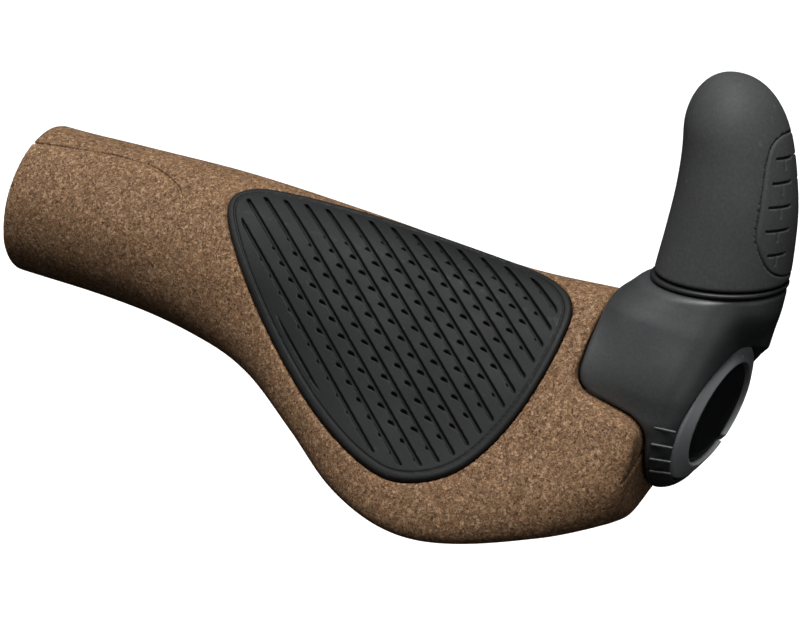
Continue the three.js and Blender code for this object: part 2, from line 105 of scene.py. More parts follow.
TREAD_DEPTH = 1.7
TREAD_START = 150

# The grip's section at the widest part of the wing: an angle round the bar from the wing's direction,
# and how far the wing moves that point of a round section, along the wing and off it.
WING_SECTION = [
    (0, 30.7, 1.6), (22, 27, 1.3), (48, 16.9, -1.1), (72, 8.2, -0.9), (98, 0, 0), (128, 0, 0),
    (158, 0, 0), (188, 0, 0), (220, 0, 0), (252, 0, 0), (284, 3, 1), (312, 9, 3.5), (338, 22.5, 0.3),
]
WING_SHARE = [
    (0, 0), (30, 0.02), (50, 0.13), (62, 0.275), (76, 0.56), (90, 0.85),
    (104, 0.98), (118, 0.92), (132, 0.71), (142, 0.43), (GRIP_LENGTH, 0.19),
]
ROUND_RADIUS = [
    (0, 16), (20, 16.3), (45, 16.8), (75, 16.6), (110, 16.5), (130, 16.9), (GRIP_LENGTH, 18.5),
]
ROUND_OFFSET = [
    (0, 0), (20, 0.6), (45, 1.2), (75, 0.9), (108, -0.2), (130, 1), (GRIP_LENGTH, 0.6),
]
# The pad's outline seen square to the wing: along the bar, and back from it along the wing.
PAD_OUTLINE = [
    (48, -2.5), (50.5, -8.4), (60, -11.2), (78, -13), (98, -13.3), (113, -11.2), (122.3, -5),
    (124, 4.3), (121.6, 19.5), (114.8, 33), (105, 38.8), (95, 37.6), (81.5, 30.5), (66.6, 19),
    (54.5, 7.2),
]
# The collar's skin: x, radius, and how far its centre is off the bar's axis.
COLLAR = [
    (COLLAR_START, 16.7, 0.9), (COLLAR_START + 0.6, 16.95, 0.9), (138, 17.2, 1.1), (146, 18.4, 0.7),
    (149, 18.1, 0.4), (152, 16.8, 0.2), (155, 16.1, 0), (170, 15.8, 0),
]
# The neck: height up the horn, middle x, half x, half side, and how square its section is.
NECK = [
    (0, 144.6, 14, 16.2, 2.6), (5, 144.7, 15, 17.7, 2.6), (10, 144.8, 15.4, 17.6, 2.6),
    (17, 144.6, 15.8, 15.9, 2.6), (20, 145.6, 15, 14.9, 2.4), (22.5, 146.7, 14.2, 14.1, 2.15),
    (25, 147.6, 13.4, 13.4, 2), (32, 147.9, 13, 13, 2),
]
# The sleeve: height up the horn, middle x, radius.
SLEEVE = [
    (20, 148.2, 13.1), (27, 148.2, 12.9), (34, 148.1, 12.5), (42, 147.6, 11.9), (49, 146.4, 11.2),
    (55.6, 144.7, 10.6), (66, 142.6, 9.6),
]
# Half of the tread's outline seen from outboard: height up the horn, and half width there.
TREAD_OUTLINE = [
    (30.7, 0.01), (30.9, 4), (32.3, 7.2), (36.5, 9.2), (41, 9.2), (49.9, 7.8), (54.5, 6.2),
    (56.5, 3.6), (57, 0.01),
]


# ---------------------------------------------------------------- directions


def round_bar(angle):
    """The unit vector square to X at an angle from forward towards up."""
    turn = math.radians(angle)
    return np.array([0.0, math.cos(turn), math.sin(turn)])


OUTBOARD = np.array([1.0, 0.0, 0.0])
WING_WAY = round_bar(180 + WING_TILT)
WING_UP = round_bar(90 + WING_TILT)
OFFSET_WAY = round_bar(OFFSET_TOWARDS)
HORN_WAY = round_bar(HORN_LEAN)
HORN_SIDE = round_bar(HORN_LEAN + 90)


def slanted(plane):
    """The normal of a plane that is nearly square to the bar."""
    slant = math.radians(plane["slant"])
    return OUTBOARD * math.cos(slant) + round_bar(plane["towards"]) * math.sin(slant)


FACE_WAY = slanted(FACE)
FACE_CENTRE = OUTBOARD * FACE["x"]
EAR_WAY = round_bar(SPLIT["at"])
BOLT_WAY = round_bar(SPLIT["at"] + 90)
BOLT_MIDDLE = OUTBOARD * BOLT["x"] + EAR_WAY * BOLT["out"]
EAR_FACE = SPLIT["width"] / 2 + EAR["thick"]
SEAT_WAY = HORN_WAY - OUTBOARD * math.tan(math.radians(SEAT["inboard"]))
SEAT_WAY = SEAT_WAY + HORN_SIDE * math.tan(math.radians(SEAT["back"]))
SEAT_WAY = SEAT_WAY / np.linalg.norm(SEAT_WAY)
SEAT_MIDDLE = OUTBOARD * SEAT["x"] + HORN_WAY * SEAT["height"]


def reach(p, way, start=(0, 0, 0)):
    """How far points lie along a direction, from a start."""
    return (p[0] - start[0]) * way[0] + (p[1] - start[1]) * way[1] + (p[2] - start[2]) * way[2]


def off_axis(p, way, start):
    """How far points lie from the line that leaves start along a direction."""
    place = reach(p, way, start)
    square = sum((p[k] - start[k]) ** 2 for k in range(3)) - place**2
    return np.sqrt(np.maximum(square, 0))


# ---------------------------------------------------------------- distance fields


def overlap(a, b, edge=0.0):
    """What lies in both shapes, with its edge rounded off."""
    if edge == 0:
        return np.maximum(a, b)
    near = np.maximum(edge - np.abs(a - b), 0) / edge
    return np.maximum(a, b) + near**2 * edge / 4


def union(a, b, fillet=0.0):
    """What lies in either shape, with a fillet between them."""
    return -overlap(-a, -b, fillet)


def cut(a, b, edge=0.0):
    """The first shape without the second."""
    return overlap(a, -b, edge)


def slab(value, low, high, edge=0.0):
    """Where a coordinate lies between two values."""
    return overlap(low - value, value - high, edge)


def along(rows, places):
    """A smooth curve through rows of (place, value), flat at its start."""
    at = np.array([row[0] for row in rows], float)
    value = np.array([row[1] for row in rows], float)
    slope = np.zeros(len(rows))
    slope[1:-1] = (value[2:] - value[:-2]) / (at[2:] - at[:-2])
    slope[-1] = (value[-1] - value[-2]) / (at[-1] - at[-2])
    places = np.clip(places, at[0], at[-1])
    i = np.clip(np.searchsorted(at, places, side="left") - 1, 0, len(rows) - 2)
    span = at[i + 1] - at[i]
    t = (places - at[i]) / span
    return (
        (2 * t**3 - 3 * t**2 + 1) * value[i]
        + (t**3 - 2 * t**2 + t) * span * slope[i]
        + (3 * t**2 - 2 * t**3) * value[i + 1]
        + (t**3 - t**2) * span * slope[i + 1]
    )


def closed_curve(points, steps):
    """A uniform Catmull-Rom curve through closed points; the points are on the second last axis."""
    before, here = np.roll(points, 1, -2), points
    after, later = np.roll(points, -1, -2), np.roll(points, -2, -2)
    t = (np.arange(steps) / steps)[:, None]
    parts = [a[..., :, None, :] for a in (before, here, after, later)]
    curve = 0.5 * (
        2 * parts[1]
        + (parts[2] - parts[0]) * t
        + (2 * parts[0] - 5 * parts[1] + 4 * parts[2] - parts[3]) * t**2
        + (3 * parts[1] - 3 * parts[2] + parts[3] - parts[0]) * t**3
    )
    return curve.reshape(*points.shape[:-2], -1, points.shape[-1])


STATION = 0.5  # between two sections of the grip's table
BEARINGS = 720  # directions round a section


def grip_table():
    """For each station along the grip: its section's middle, and its radius in each direction."""
    x = np.arange(0, GRIP_LENGTH + STATION / 2, STATION)
    share, radius, offset = (along(rows, x) for rows in (WING_SHARE, ROUND_RADIUS, ROUND_OFFSET))
    angle, back, up = np.radians([r[0] for r in WING_SECTION]), *(
        np.array([r[k] for r in WING_SECTION], float) for k in (1, 2)
    )
    shift = offset * (OFFSET_WAY @ WING_WAY), offset * (OFFSET_WAY @ WING_UP)
    rim = np.stack(
        [
            shift[0][:, None] + radius[:, None] * np.cos(angle) + share[:, None] * back,
            shift[1][:, None] + radius[:, None] * np.sin(angle) + share[:, None] * up,
        ],
        -1,
    )
    middle = np.stack([shift[0] + 13 * share, shift[1]], -1)
    spokes = closed_curve(rim, 24) - middle[:, None, :]
    bearing = np.arctan2(spokes[..., 1], spokes[..., 0])
    length = np.hypot(spokes[..., 0], spokes[..., 1])
    wanted = np.arange(BEARINGS) * 2 * math.pi / BEARINGS
    rows = [np.interp(wanted, b, r, period=2 * math.pi) for b, r in zip(bearing, length)]
    spoke = np.array(rows)
    slope_round = np.gradient(spoke, 2 * math.pi / BEARINGS, axis=1) / spoke
    slope_along = np.gradient(spoke, STATION, axis=0)
    lean = 1 / np.sqrt(1 + slope_round**2 + slope_along**2)
    return middle, spoke, lean


MIDDLES, SPOKES, LEANS = grip_table()


def grip_skin(p):
    """The distance outside the grip's outer shape, with no ends."""
    place = np.clip(p[0] / STATION, 0, len(SPOKES) - 1.001)
    i = place.astype(int)
    f = place - i
    middle = MIDDLES[i] * (1 - f)[..., None] + MIDDLES[i + 1] * f[..., None]
    back = reach(p, WING_WAY) - middle[..., 0]
    up = reach(p, WING_UP) - middle[..., 1]
    bearing = np.mod(np.arctan2(up, back) / (2 * math.pi), 1) * BEARINGS
    j = bearing.astype(int) % BEARINGS
    g = bearing - np.floor(bearing)
    k = (j + 1) % BEARINGS
    spoke = (SPOKES[i, j] * (1 - g) + SPOKES[i, k] * g) * (1 - f) + (
        SPOKES[i + 1, j] * (1 - g) + SPOKES[i + 1, k] * g
    ) * f
    return (np.hypot(back, up) - spoke) * LEANS[i, j]


PLAN_LOW, PLAN_HIGH, PLAN_STEP = (42.0, -20.0), (130.0, 46.0), 0.2


def plan_table():
    """The distance outside the pad's outline, over a plan square to the wing."""
    outline = np.array(PAD_OUTLINE, float)
    curve = closed_curve(outline, 48)
    ahead = np.roll(curve, -1, 0) - np.roll(curve, 1, 0)
    outward = np.stack([ahead[:, 1], -ahead[:, 0]], -1)
    outward /= np.linalg.norm(outward, axis=1)[:, None]
    x = np.arange(PLAN_LOW[0], PLAN_HIGH[0], PLAN_STEP)
    back = np.arange(PLAN_LOW[1], PLAN_HIGH[1], PLAN_STEP)
    table = np.empty((len(x), len(back)))
    for row, place in enumerate(x):
        aside = np.broadcast_to(place - curve[:, 0], (len(back), len(curve)))
        gap = np.stack([aside, back[:, None] - curve[:, 1]], -1)
        nearest = np.argmin((gap**2).sum(-1), 1)
        picked = gap[np.arange(len(back)), nearest]
        table[row] = (picked * outward[nearest]).sum(-1)
    return table


PLAN = plan_table()


def outside_outline(x, back):
    """The distance outside the pad's outline, for points of the plan."""
    u = np.clip((x - PLAN_LOW[0]) / PLAN_STEP, 0, PLAN.shape[0] - 1.001)
    v = np.clip((back - PLAN_LOW[1]) / PLAN_STEP, 0, PLAN.shape[1] - 1.001)
    i, j = u.astype(int), v.astype(int)
    f, g = u - i, v - j
    return (PLAN[i, j] * (1 - g) + PLAN[i, j + 1] * g) * (1 - f) + (
        PLAN[i + 1, j] * (1 - g) + PLAN[i + 1, j + 1] * g
    ) * f


def smooth_step(value, low, high):
    t = np.clip((value - low) / (high - low), 0, 1)
    return t * t * (3 - 2 * t)


def groove(distance, half_width, depth):
    """The depth of a groove with sloping walls, at a distance from its middle."""
    return depth * (1 - smooth_step(distance, half_width * 0.6, half_width * 1.15))


# The pad's grooves run straight over the plan, and short dashes branch off them.
GROOVE_ANGLE = math.radians(38.3)
GROOVE_COUNT = 16
GROOVE_HALF = 0.37
GROOVE_DEPTH = 1.15
DASH_PITCH = 4.15
DASH_HALF = 0.28
DASH_TURN = math.radians(-29.3)
RIM = {"inset": 1.5, "half": 0.22, "depth": 0.3, "bead": 0.85, "rise": 0.136}


def groove_place(k):
    """How far across the plan groove k lies."""
    return -29.0 - 3.36 * k + 0.0137 * k * k


def pad_grooves(x, back):
    """How deep the pad's pattern is at points of the plan."""
    c, s = math.cos(GROOVE_ANGLE), math.sin(GROOVE_ANGLE)
    u, v = x * c + back * s, back * c - x * s
    inside = -outside_outline(x, back)
    depth = groove(np.abs(inside - RIM["inset"]), RIM["half"], RIM["depth"])
    from_top = back - 3.5 + 0.42 * (x - 58)
    for k in range(GROOVE_COUNT):
        line = groove_place(k)
        near = np.abs(v - line) < 4
        if not near.any():
            continue
        un, vn, room, top = u[near], v[near], inside[near], from_top[near]
        past_end = np.maximum(3.1 - room, 0)
        found = groove(np.hypot(vn - line, past_end), GROOVE_HALF, GROOVE_DEPTH)
        phase = 1.9 - 0.33 * (k - 1)
        nearest = np.round((un - phase) / DASH_PITCH) * DASH_PITCH + phase
        free = np.minimum(room - 3.4, top + 1.2)
        length = 0.7 + 2.1 * smooth_step(free, 0, 9)
        across_line, along_line = vn - line, un - nearest
        cd, sd = math.cos(DASH_TURN), math.sin(DASH_TURN)
        along_dash = along_line * cd + across_line * sd + length / 2
        across = across_line * cd - along_line * sd
        gap = np.hypot(np.maximum(np.abs(along_dash) - length / 2, 0), across)
        dash = groove(gap, DASH_HALF, GROOVE_DEPTH) * smooth_step(free, 0, 1)
        depth[near] = np.maximum(depth[near], np.maximum(found, dash))
    return depth


def pad_field(p):
    x, back = p[0], reach(p, WING_WAY)
    skin = grip_skin(p)
    outline = outside_outline(x, back)
    bead = RIM["rise"] * np.maximum(1 - (outline / RIM["bead"] + 1) ** 2, 0)
    top = skin - PAD["proud"] + pad_grooves(x, back) - bead
    edge = overlap(top, outline, 0.55)
    return overlap(overlap(edge, -(skin + PAD["depth"]), 0.3), 4 - reach(p, WING_UP))


# A fine line scribed on the cork near the grip's inboard end, seen square to the wing.
SCRIBED = [
    (0.2, -3.7), (4.7, -4.7), (9, -5.4), (13.2, -6), (17.9, -6.8), (22.5, -6.9), (26.1, -6.9),
    (29.4, -6.1), (32.9, -4.8), (35.7, -3.2), (37.5, -1.5), (38.4, 0.3), (38.9, 2.6),
]
SCRIBED_GROOVE = {"half": 0.34, "depth": 0.45}
POINTER = [(144.7, 181.9), (146.3, 179.9)]  # x, and degrees round the bar
POINTER_GROOVE = {"half": 0.42, "depth": 0.9}
POINTER_OUT = 23.8  # how far the mark lies from the bar's axis


def from_line(x, y, points):
    """The distance from a broken line, and how far along it the nearest point lies, from 0 to 1."""
    best = np.full(np.shape(x), 1e9)
    share = np.zeros(np.shape(x))
    for i in range(len(points) - 1):
        (ax, ay), (bx, by) = points[i], points[i + 1]
        size = (bx - ax) ** 2 + (by - ay) ** 2
        t = np.clip(((x - ax) * (bx - ax) + (y - ay) * (by - ay)) / size, 0, 1)
        gap = np.hypot(x - ax - t * (bx - ax), y - ay - t * (by - ay))
        share = np.where(gap < best, (i + t) / (len(points) - 1), share)
        best = np.minimum(best, gap)
    return best, share


def scribed_depth(p):
    gap, share = from_line(p[0], reach(p, WING_WAY), SCRIBED)
    fade = 1 - smooth_step(share, 0.75, 1.0)
    above = reach(p, WING_UP) > 0
    return groove(gap, SCRIBED_GROOVE["half"], SCRIBED_GROOVE["depth"]) * fade * above


def from_pointer(p):
    """The distance from the pointer's mark, over the skin."""
    scale = math.radians(1) * POINTER_OUT  # millimetres for a degree at the mark
    turn = np.degrees(np.arctan2(p[2], p[1])) % 360
    return from_line(p[0], turn * scale, [(x, a * scale) for x, a in POINTER])[0]


def pointer_depth(p):
    return groove(from_pointer(p), POINTER_GROOVE["half"], POINTER_GROOVE["depth"])


def fine_line(p):
    """Whether points of the cork's skin lie on its fine lines."""
    scribed, _ = from_line(p[0], reach(p, WING_WAY), SCRIBED)
    near = ((scribed < 0.9) & (reach(p, WING_UP) > 0)) | (from_pointer(p) < 1)
    return near & (np.abs(grip_skin(p)) < 1)


def collar_space(p, grow, front_angle):
    """The space of the bar end's flap and collar, grown by grow."""
    height, side = reach(p, HORN_WAY), reach(p, HORN_SIDE)
    left = COLLAR_START - grow
    right = CORK_END + GAP - grow
    low = FLAP_BACK["height"] - grow
    run = right - FLAP_BACK["out_corner"] - left - FLAP_BACK["in_corner"]
    fall = FLAP_BACK["drop"] / run
    edge = (low - fall * (p[0] - left - FLAP_BACK["in_corner"]) - height) / math.hypot(1, fall)
    rear = overlap(left - p[0], edge, 1.8 * FLAP_BACK["in_corner"])
    rear = union(rear, right - p[0], 1.5 * FLAP_BACK["out_corner"])
    front_edge = -reach(p, round_bar(front_angle + 90)) - grow
    front = union(np.maximum(left - p[0], front_edge), right - p[0])
    return np.where(side > 0, rear, front)


def from_bar(p):
    return np.hypot(p[1], p[2])


def cork_field(p):
    skin = grip_skin(p)
    body = overlap(overlap(skin, -p[0], GRIP_EDGE * 2), p[0] - CORK_END, GRIP_EDGE * 2)
    body = body + scribed_depth(p) + pointer_depth(p)
    clamp_room = np.maximum(from_bar(p) - CLAMP["outer"] - GAP, COLLAR_START - GAP - p[0])
    body = cut(body, clamp_room, 0.3)
    body = cut(body, collar_space(p, GAP, CUT_FRONT), 1.3)
    outline = outside_outline(p[0], reach(p, WING_WAY))
    pocket = overlap(outline - GAP * 0.6, -(skin + PAD["depth"] + GAP))
    pocket = np.maximum(pocket, -reach(p, WING_UP))
    body = cut(body, pocket, 0.6)
    return cut(body, from_bar(p) - CORE["outer"] - GAP, 0.5)


def core_field(p):
    tube = overlap(from_bar(p) - CORE["outer"], BORE_RADIUS - from_bar(p), 0.5)
    tube = overlap(tube, slab(p[0], CORE["start"], CORE["end"]), 0.5)
    for i in range(CORE["slots"]):
        out = round_bar(SPLIT["at"] + 360 / CORE["slots"] * i)
        side = np.abs(reach(p, np.cross(out, OUTBOARD))) - CORE["slot_width"] / 2
        room = np.maximum(side, CORE["end"] - CORE["slot_length"] - p[0])
        tube = cut(tube, np.maximum(room, -reach(p, out)), 0.3)
    return tube


def profile(rows, places, column):
    """A column of rows read smoothly by their first value."""
    return along([(row[0], row[column]) for row in rows], places)


def collar_skin(p):
    offset = profile(COLLAR, p[0], 2)
    radius = profile(COLLAR, p[0], 1)
    side = [p[k] - offset * OFFSET_WAY[k] for k in (1, 2)]
    return np.hypot(side[0], side[1]) - radius


def neck_field(p):
    height, side = reach(p, HORN_WAY), reach(p, HORN_SIDE)
    middle, half_x, half_side, square = (profile(NECK, height, k) for k in (1, 2, 3, 4))
    powers = np.abs((p[0] - middle) / half_x) ** square + np.abs(side / half_side) ** square
    ring = (powers ** (1 / square) - 1) * np.minimum(half_x, half_side)
    return overlap(ring, NECK[0][0] - height, 2)


def post_field(p, grow=0.0):
    lean = math.radians(POST["lean"])
    way = HORN_WAY * math.cos(lean) + OUTBOARD * math.sin(lean)
    foot = OUTBOARD * POST["x"] + HORN_WAY * POST["foot"]
    place = reach(p, way, foot)
    rod = overlap(off_axis(p, way, foot) - POST["radius"] - grow, place - POST["top"] + POST["foot"], 1)
    return np.maximum(rod, -place)


def beyond_face(p, ahead=0.0):
    return reach(p, FACE_WAY, FACE_CENTRE) - ahead


def above_seat(p, above=0.0):
    return reach(p, SEAT_WAY, SEAT_MIDDLE) - above


def beyond(p, plane):
    return reach(p, slanted(plane), OUTBOARD * plane["x"])


def shoulder_room(p):
    """What is cut away round the ring behind the bar, up to a line that climbs towards the seat."""
    height, side = reach(p, HORN_WAY), reach(p, HORN_SIDE) - SHOULDER["side"]
    room = -beyond(p, END)
    for top, slope in ((0, SHOULDER["slope"]), (SHOULDER["drop"], SHOULDER["steep"])):
        slope = math.radians(slope)
        above = height - SHOULDER["height"] + top
        room = overlap(room, above * math.cos(slope) - side * math.sin(slope), SHOULDER["fillet"])
    return room


def housing_field(p):
    body = union(collar_skin(p), neck_field(p), 4)
    body = cut(body, shoulder_room(p), SHOULDER["edge"])
    body = overlap(body, beyond(p, FRONT_END), 4)
    body = overlap(body, collar_space(p, 0, FLAP_FROM), 1.1)
    body = overlap(body, above_seat(p), 1.1)
    room = CLAMP["outer"] + GAP
    face_room = np.maximum(off_axis(p, FACE_WAY, FACE_CENTRE) - room - 0.3, -beyond_face(p, -0.3))
    body = cut(body, from_bar(p) - room, 0.5)
    body = cut(body, face_room, 0.5)
    return union(body, post_field(p), 0.5)


# Timing marks: short ribs on the collar, at these angles round the bar.
MARK_ANGLES = (157, 168.5, 180, 191.5)
MARK = {"from": 147.1, "to": 150.8, "radius": 0.3}


def marks_field(p):
    found = np.full(np.shape(p[0]), 1e3)
    for angle in MARK_ANGLES:
        way = round_bar(angle)
        ends = []
        for x in (MARK["from"], MARK["to"]):
            offset = profile(COLLAR, np.array([x]), 2)[0]
            radius = profile(COLLAR, np.array([x]), 1)[0]
            skew = offset * (OFFSET_WAY @ way)
            ends.append(OUTBOARD * x + way * (radius + skew - MARK["radius"] * 0.6))
        run = ends[1] - ends[0]
        t = np.clip(reach(p, run, ends[0]) / (run @ run), 0, 1)
        gap = [p[k] - ends[0][k] - t * run[k] for k in range(3)]
        rib = np.sqrt(gap[0] ** 2 + gap[1] ** 2 + gap[2] ** 2) - MARK["radius"]
        found = np.minimum(found, rib)
    return found


def clamp_field(p):
    out, far = from_bar(p), beyond_face(p)
    around = off_axis(p, FACE_WAY, FACE_CENTRE)
    tube = np.maximum(overlap(out - CLAMP["outer"], CORE["outer"] + GAP - out, 0.3), CLAMP["start"] - p[0])
    shelf = overlap(out - CLAMP["outer"] + 0.6, CLAMP["step"] - p[0])
    bevel = math.atan2(FACE["bevel"], CLAMP["outer"] - CLAMP["recess"])
    slope = far * math.cos(bevel) + (around - CLAMP["recess"]) * math.sin(bevel)
    ring = overlap(union(tube, shelf), slope, 0.5)
    ring = cut(ring, np.maximum(around - CLAMP["recess"], -far - 12), 0.6)
    across, up = reach(p, BOLT_WAY), reach(p, EAR_WAY)
    ear = overlap(slab(p[0], EAR["from"], EAR["to"], 2), slab(across, -EAR_FACE, EAR_FACE, 1), 1)
    ear = overlap(ear, slab(up, 13.6, EAR["top"], 1), 1)
    ring = union(ring, ear, 1)
    ring = cut(ring, np.maximum(np.abs(across) - SPLIT["slit"] / 2, 4 - up), 0.3)
    ring = cut(ring, off_axis(p, BOLT_WAY, BOLT_MIDDLE) - BOLT["hole"], 0.4)
    nut_floor = -EAR_FACE + NUT["thick"] + GAP
    return cut(ring, np.maximum(hexagon(p, NUT["radius"] + GAP), across - nut_floor), 0.3)


def hexagon(p, radius):
    """A six-sided bar round the bolt's axis, corners along the bar."""
    u, v = reach(p, OUTBOARD, BOLT_MIDDLE), reach(p, EAR_WAY, BOLT_MIDDLE)
    flats = [np.abs(u * math.cos(a) + v * math.sin(a)) for a in np.radians([30, 90, 150])]
    return np.maximum.reduce(flats) - radius * math.cos(math.radians(30))


def bolt_field(p):
    axis, place = off_axis(p, BOLT_WAY, BOLT_MIDDLE), reach(p, BOLT_WAY, BOLT_MIDDLE)
    head_from = EAR_FACE + 2 * GAP + WASHER["thick"]
    thread = 0.12 * np.cos(2 * math.pi * place / 0.8)
    shank = overlap(axis - BOLT["radius"] - thread, slab(place, -EAR_FACE + 0.5, head_from + 1), 0.5)
    turn = np.arctan2(reach(p, EAR_WAY, BOLT_MIDDLE), reach(p, OUTBOARD, BOLT_MIDDLE))
    knurl = 0.07 * np.cos(48 * turn) * smooth_step(head_from + BOLT["height"] - place, 0.9, 1.3)
    head = slab(place, head_from, head_from + BOLT["height"])
    head = overlap(axis - BOLT["head"] + 0.07 - knurl, head, 0.7)
    body = union(shank, head)
    return cut(body, np.maximum(hexagon(p, BOLT["socket"]), head_from + 2 - place), 0.3)


def washer_field(p):
    axis, place = off_axis(p, BOLT_WAY, BOLT_MIDDLE), reach(p, BOLT_WAY, BOLT_MIDDLE)
    ring = overlap(axis - WASHER["radius"], BOLT["hole"] - axis, 0.3)
    return overlap(ring, slab(place, EAR_FACE + GAP, EAR_FACE + GAP + WASHER["thick"]), 0.35)


def nut_field(p):
    axis, place = off_axis(p, BOLT_WAY, BOLT_MIDDLE), reach(p, BOLT_WAY, BOLT_MIDDLE)
    body = overlap(hexagon(p, NUT["radius"]), slab(place, -EAR_FACE, -EAR_FACE + NUT["thick"]), 0.4)
    body = overlap(body, axis - NUT["radius"] + 0.1, 0.4)
    return cut(body, axis - BOLT["hole"], 0.3)


def plug_field(p):
    out, far = off_axis(p, FACE_WAY, FACE_CENTRE), beyond_face(p)
    dish = 0.25 * smooth_step(out, PLUG["radius"] - 2.2, PLUG["radius"] - 1.4)
    front = far + PLUG["sunk"] + dish - 0.5
    disc = overlap(out - PLUG["radius"], front, 0.8)
    return overlap(disc, -far - PLUG["sunk"] - PLUG["thick"], 0.4)


def seat_field(p):
    disc = np.hypot(p[0] - SEAT["x"], reach(p, HORN_SIDE)) - SEAT["radius"]
    level = above_seat(p)
    disc = overlap(disc, slab(level, GAP, GAP + SEAT["thick"]), 0.5)
    return cut(disc, post_field(p, GAP), 0.2)


def sleeve_skin(p):
    height, side = reach(p, HORN_WAY), reach(p, HORN_SIDE)
    middle, radius = profile(SLEEVE, height, 1), profile(SLEEVE, height, 2)
    above = np.maximum(height - DOME["from"], 0)
    square = DOME["square"]
    wide = np.hypot(p[0] - middle, side) / radius
    return ((wide**square + (above / DOME["rise"]) ** square) ** (1 / square) - 1) * radius * 0.99


def tread_outline():
    half = [(side, height) for height, side in TREAD_OUTLINE]
    mirrored = [(-side, height) for side, height in half[-2:0:-1]]
    return closed_curve(np.array(half + mirrored, float), 6)


OUTLINE = tread_outline()


def outside_tread(p):
    """The distance outside the tread's outline, seen from outboard."""
    height, side = reach(p, HORN_WAY), reach(p, HORN_SIDE)
    best, inside = np.full(np.shape(side), 1e9), np.zeros(np.shape(side), bool)
    for (ax, ay), (bx, by) in zip(OUTLINE, np.roll(OUTLINE, -1, 0)):
        share = ((side - ax) * (bx - ax) + (height - ay) * (by - ay)) / ((bx - ax) ** 2 + (by - ay) ** 2)
        share = np.clip(share, 0, 1)
        gap = np.hypot(side - ax - share * (bx - ax), height - ay - share * (by - ay))
        best = np.minimum(best, gap)
        crossed = (ay > height) != (by > height)
        rise = by - ay if by != ay else 1
        inside ^= crossed & (side < ax + (height - ay) * (bx - ax) / rise)
    return np.where(inside, -best, best)


# The tread's slots: height up the horn of its middle, near end and far end to the side, and lift.
SLOTS = [
    (52.8, 5.5, 1.1, 0.3), (48.4, 6.8, 2.3, 0.5), (44.0, 7.7, 2.9, 0.5), (39.6, 8.1, 3.3, 0.6),
    (35.0, 7.4, 3.6, 0.5),
]
SLOT = {"half": 0.27, "depth": 0.9, "tick": 1.9}


def tread_pattern(p):
    """How deep the tread's slots are: two columns, each slot with a fine tick below it."""
    height, side = reach(p, HORN_WAY), np.abs(reach(p, HORN_SIDE))
    depth = np.zeros(np.shape(side))
    for middle, near, far, lift in SLOTS:
        line = [(near, middle - lift / 2), (far, middle + lift / 2)]
        gap, _ = from_line(side, height, line)
        depth = np.maximum(depth, groove(gap, SLOT["half"], SLOT["depth"]))
        centre = (near + far) / 2 + 0.3
        tick = [(centre, middle - 0.3), (centre, middle - SLOT["tick"])]
        gap, _ = from_line(side, height, tick)
        depth = np.maximum(depth, groove(gap, 0.25, 0.22))
    return depth


def sleeve_field(p):
    skin = sleeve_skin(p)
    body = overlap(skin, -above_seat(p, 2 * GAP + SEAT["thick"]), 0.8)
    pocket = overlap(outside_tread(p) - 0.14, -(skin + TREAD_DEPTH + GAP))
    pocket = np.maximum(pocket, TREAD_START - p[0])
    body = cut(body, pocket, 0.25)
    return cut(body, np.maximum(post_field(p, GAP), reach(p, HORN_WAY) - POST["top"] - 1), 0.3)


def tread_field(p):
    skin = sleeve_skin(p)
    body = overlap(outside_tread(p) + 0.05, skin - 0.06 + tread_pattern(p), 0.3)
    body = overlap(body, -(skin + TREAD_DEPTH), 0.3)
    return np.maximum(body, TREAD_START - p[0])


# ---------------------------------------------------------------- meshing

BLOCK = 8  # grid points along a block's side
CORNERS = np.array([(i, j, k) for i in (0, 1) for j in (0, 1) for k in (0, 1)])
EDGES = [
    (a, b)
    for a in range(8)
    for b in range(a + 1, 8)
    if np.abs(CORNERS[a] - CORNERS[b]).sum() == 1
]


